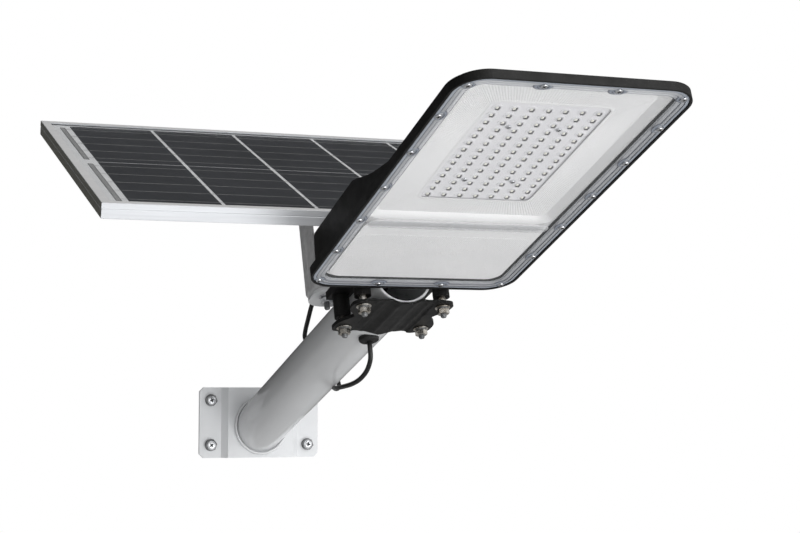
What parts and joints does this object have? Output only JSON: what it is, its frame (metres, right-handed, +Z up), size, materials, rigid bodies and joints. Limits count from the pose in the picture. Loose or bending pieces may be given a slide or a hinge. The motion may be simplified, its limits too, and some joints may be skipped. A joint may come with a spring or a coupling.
{
  "type": "solar street lamp",
  "caption": "Wall-mounted solar street lamp: a sloping tube arm with a flat LED head clamped on its end and a framed solar panel on a tilting yoke above it.",
  "frame": {"origin": "centre of the wall plate's back, on the wall's surface", "axes": "+Y into the wall, +Z up, +X to the right as seen from the street; the arm reaches out along -Y and rises"},
  "size_m": [0.466, 0.8841, 0.3748],
  "materials": {
    "painted_steel": "light grey powder coat, semi-gloss",
    "zinc_fastener": "zinc plated",
    "galvanised_steel": "dull galvanised",
    "frame_aluminium": "satin anodised",
    "panel_glass": "clear, low iron",
    "silicon": "dark grey-blue cells behind glass",
    "white_plastic": "white, satin",
    "led_white": "white solder mask",
    "black_plastic": "satin black",
    "black_rubber": "matt black",
    "black_casting": "fine-textured black powder coat",
    "clear_plastic": "clear polycarbonate, faint grey-blue edge",
    "battery_wrap": "shrink-wrapped cells",
    "circuit_green": "green solder mask"
  },
  "bodies": {
    "bracket": {"wall_plate": "painted_steel", "wall_bolt_1": "zinc_fastener", "wall_bolt_2": "zinc_fastener", "wall_bolt_3": "zinc_fastener", "wall_bolt_4": "zinc_fastener", "arm_tube": "painted_steel", "weld_bead": "painted_steel", "tube_grommet": "black_rubber", "panel_saddle": "painted_steel", "yoke_arm_left": "galvanised_steel", "yoke_arm_right": "galvanised_steel", "saddle_bolt_left": "zinc_fastener", "saddle_bolt_right": "zinc_fastener", "panel_cable": "black_rubber", "inner_lead": "black_rubber"},
    "panel": {"panel_rail_left": "galvanised_steel", "panel_rail_right": "galvanised_steel", "pivot_bolt_left": "zinc_fastener", "pivot_bolt_right": "zinc_fastener", "panel_frame_front": "frame_aluminium", "panel_frame_back": "frame_aluminium", "panel_frame_left": "frame_aluminium", "panel_frame_right": "frame_aluminium", "panel_glass": "panel_glass", "solar_cells": "silicon", "panel_backsheet": "white_plastic", "junction_box": "black_plastic", "junction_lid": "black_plastic", "cable_gland": "black_plastic"},
    "head": {"head_housing": "black_casting", "lens_cover": "clear_plastic", "cover_gasket": "black_rubber", "reflector": "white_plastic", "led_board": "led_white", "battery_pack": "battery_wrap", "controller_board": "circuit_green", "head_gland": "black_plastic", "clamp_plate": "black_casting", "clamp_bolt_left_1": "zinc_fastener", "clamp_bolt_right_1": "zinc_fastener", "clamp_bolt_left_2": "zinc_fastener", "clamp_bolt_right_2": "zinc_fastener"}
  },
  "joints": [
    {"name": "panel_tilt", "type": "hinge", "parent": "bracket", "child": "panel", "pos_m": [0, -0.3458, 0.22354], "axis": [-1, 0, 0], "range_deg": [0, 40], "deforming": ["panel_cable"]},
    {"name": "head_roll", "type": "hinge", "parent": "bracket", "child": "head", "pos_m": [0, 0, -0.007], "axis": [0, -0.95, 0.3123], "range_deg": [-3, 3]}
  ]
}
